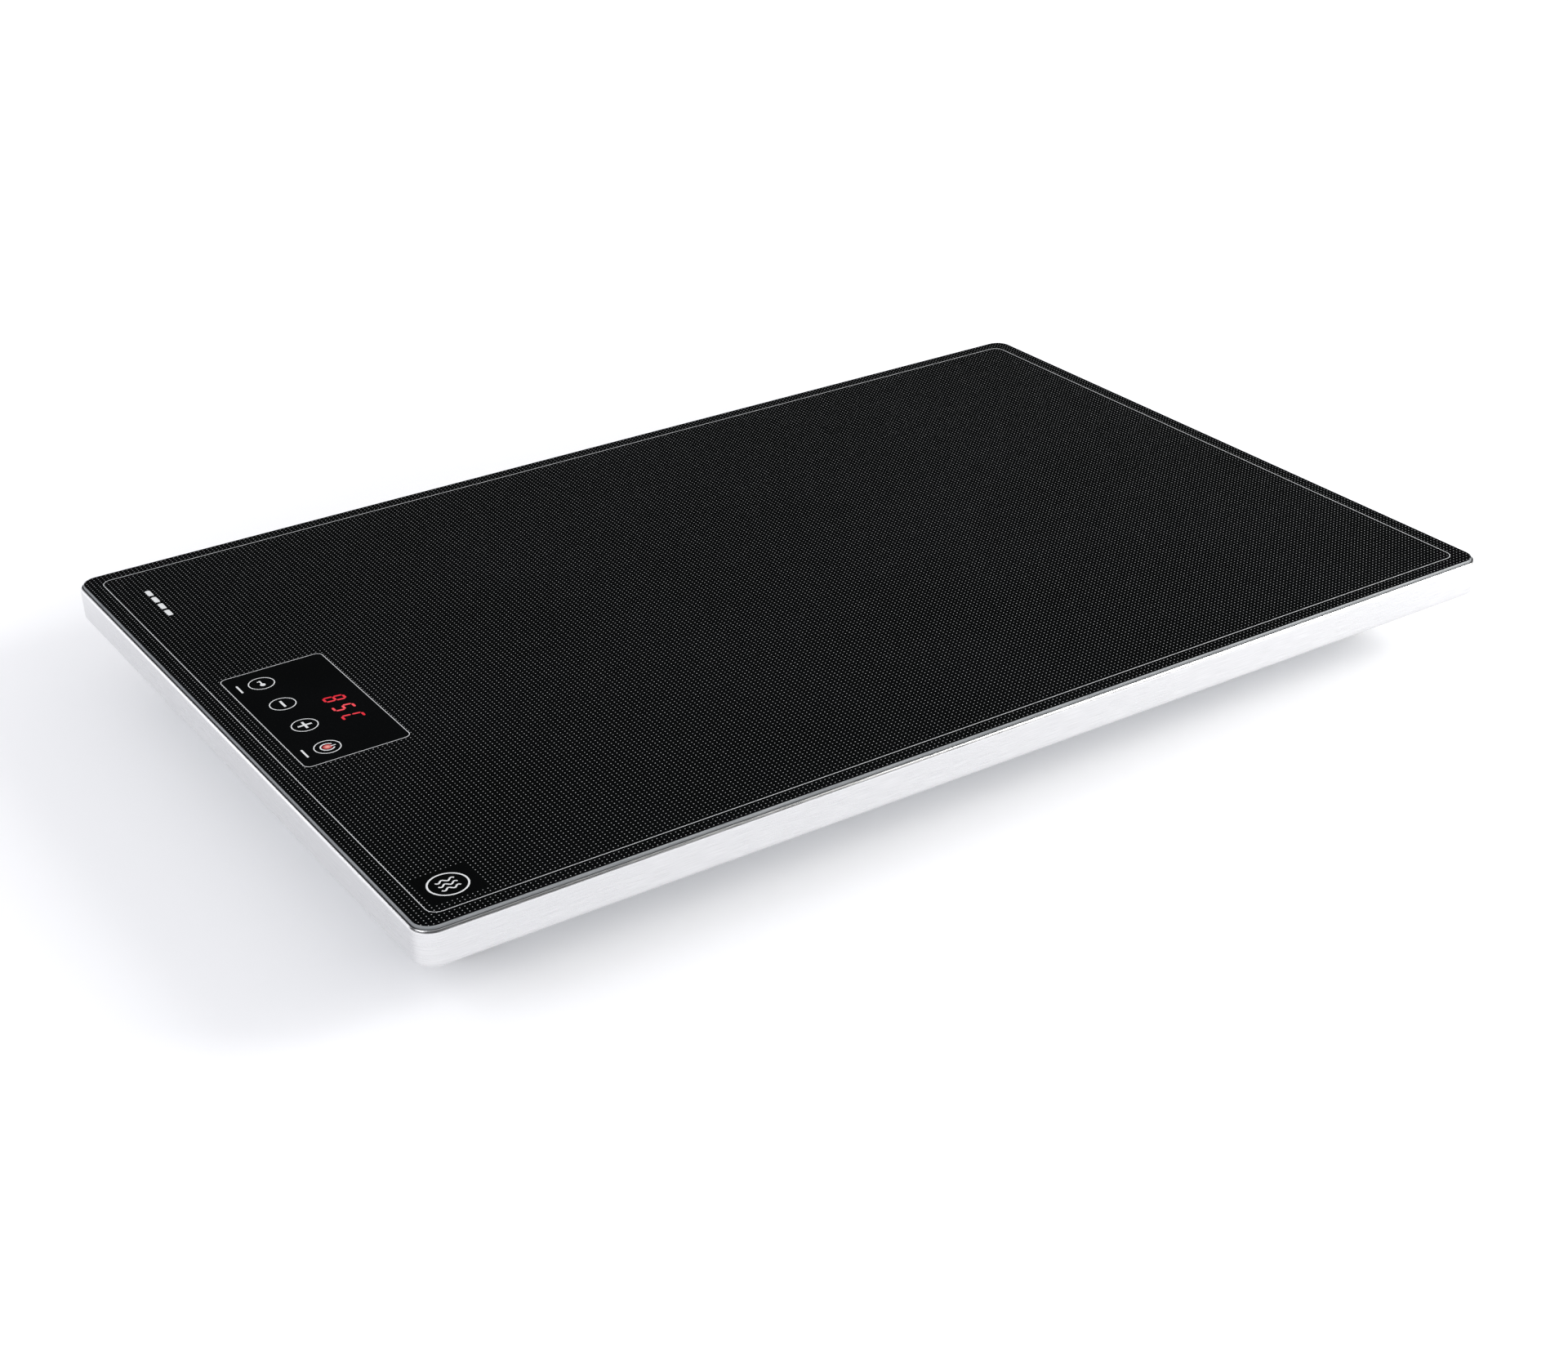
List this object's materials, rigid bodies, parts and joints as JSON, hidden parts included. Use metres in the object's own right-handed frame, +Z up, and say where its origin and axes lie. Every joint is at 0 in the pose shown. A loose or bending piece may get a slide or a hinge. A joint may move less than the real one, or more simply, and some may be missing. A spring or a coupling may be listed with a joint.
{
  "type": "electric glass warming plate",
  "caption": "Slim electric warming plate: black tempered glass top with dot print and touch keys on a satin stainless steel tray, recessed base pan on rubber feet.",
  "frame": {"origin": "centre of the footprint at the soles of the feet", "axes": "+X to the user's right, +Y away from the user along the long side, +Z up; the touch keys are at the -Y end"},
  "size_m": [0.4, 0.578, 0.0508],
  "materials": {
    "tempered_glass": "black back-printed tempered glass, polished, ground edge",
    "silicone_bond": "cured silicone, matt",
    "stainless_rim": "satin stainless steel",
    "galvanised_pan": "hot-dip galvanised sheet with fine spangle",
    "zinc_steel": "bright zinc plate",
    "rubber_foot": "matt moulded rubber",
    "aluminium_sheet": "mill finish",
    "silicone_mat": "red-brown silicone rubber sheet, fine cloth texture",
    "heating_foil": "etched resistance foil",
    "ceramic_fibre": "pressed ceramic fibre board",
    "ceramic_white": "ceramic bead",
    "bimetal": "rolled bimetal",
    "phenolic_black": "moulded phenolic",
    "button_red": "moulded red plastic",
    "brass_tab": "stamped brass, tinned",
    "moulded_black": "moulded black thermoplastic",
    "moulded_grey": "moulded grey thermoplastic",
    "moulded_green": "moulded green polyamide",
    "fr4_green": "glass-epoxy board with solder mask",
    "conductive_foam": "carbon-loaded foam",
    "led_red": "lit red diffused epoxy, emissive",
    "epoxy_black": "moulded epoxy",
    "nylon_white": "natural nylon",
    "fuse_glass": "glass tube with nickel caps",
    "capacitor_yellow": "moulded yellow box",
    "capacitor_sleeve": "shrunk plastic sleeve",
    "copper_wire": "enamelled copper winding",
    "magnet_iron": "nickel-plated soft iron",
    "relay_case": "translucent dark plastic",
    "wire_brown": "silicone-insulated wire",
    "wire_glassfibre": "glass-fibre sleeved wire",
    "wire_white": "thin insulated wire",
    "wire_grey": "sheathed multicore harness"
  },
  "bodies": {
    "plate": {"bar_rivets": "aluminium_sheet", "barrier_strip": "silicone_bond", "base_pan": "galvanised_pan", "bimetal_disc": "bimetal", "board_headers": "nylon_white", "board_screws": "zinc_steel", "board_standoffs": "nylon_white", "buzzer": "moulded_black", "clinch_nuts": "zinc_steel", "control_board": "fr4_green", "control_carrier": "moulded_black", "control_harness": "wire_grey", "controller_chip": "epoxy_black", "cutout_body": "phenolic_black", "cutout_cap": "aluminium_sheet", "cutout_strap": "zinc_steel", "display_case": "moulded_grey", "display_segments": "led_red", "earth_lug": "brass_tab", "earth_stud": "zinc_steel", "feet": "rubber_foot", "flange_screws": "zinc_steel", "foot_screws": "zinc_steel", "fuse_clips": "brass_tab", "fuse_link": "fuse_glass", "glass_bond": "silicone_bond", "glass_plate": "tempered_glass", "harness_grommet": "rubber_foot", "heat_spreader": "aluminium_sheet", "heater_foil": "heating_foil", "heater_leads": "wire_glassfibre", "heater_mat_lower": "silicone_mat", "heater_mat_upper": "silicone_mat", "hex_nuts": "zinc_steel", "inlet_body": "moulded_black", "inlet_leads": "wire_brown", "inlet_pins": "brass_tab", "insulation_board": "ceramic_fibre", "noise_capacitor": "capacitor_yellow", "power_board": "fr4_green", "power_led": "led_red", "power_module": "epoxy_black", "relay_base": "moulded_black", "relay_bobbin": "nylon_white", "relay_cover": "relay_case", "relay_winding": "copper_wire", "relay_yoke": "magnet_iron", "retaining_bars": "galvanised_pan", "rim_tray": "stainless_rim", "sensor_bead": "ceramic_white", "sensor_lead": "wire_white", "sensor_plug": "silicone_mat", "smoothing_capacitor": "capacitor_sleeve", "spade_tabs": "brass_tab", "terminal_block": "moulded_green", "touch_pads": "conductive_foam"},
    "relay_armature": {"relay_armature": "magnet_iron", "relay_contact_spring": "brass_tab"},
    "cutout_button": {"reset_button": "button_red"}
  },
  "joints": [
    {"name": "relay_armature_hinge", "type": "hinge", "parent": "plate", "child": "relay_armature", "pos_m": [0.0766, 0.214, 0.0272], "axis": [0, 1, 0], "range_deg": [0, 5], "stiffness_Nm_per_rad": 0.01, "springref_deg": -11.46},
    {"name": "reset_button_slide", "type": "slide", "parent": "plate", "child": "cutout_button", "axis": [0, 0, -1], "range_m": [0, 0.0012], "stiffness_N_per_m": 60}
  ]
}
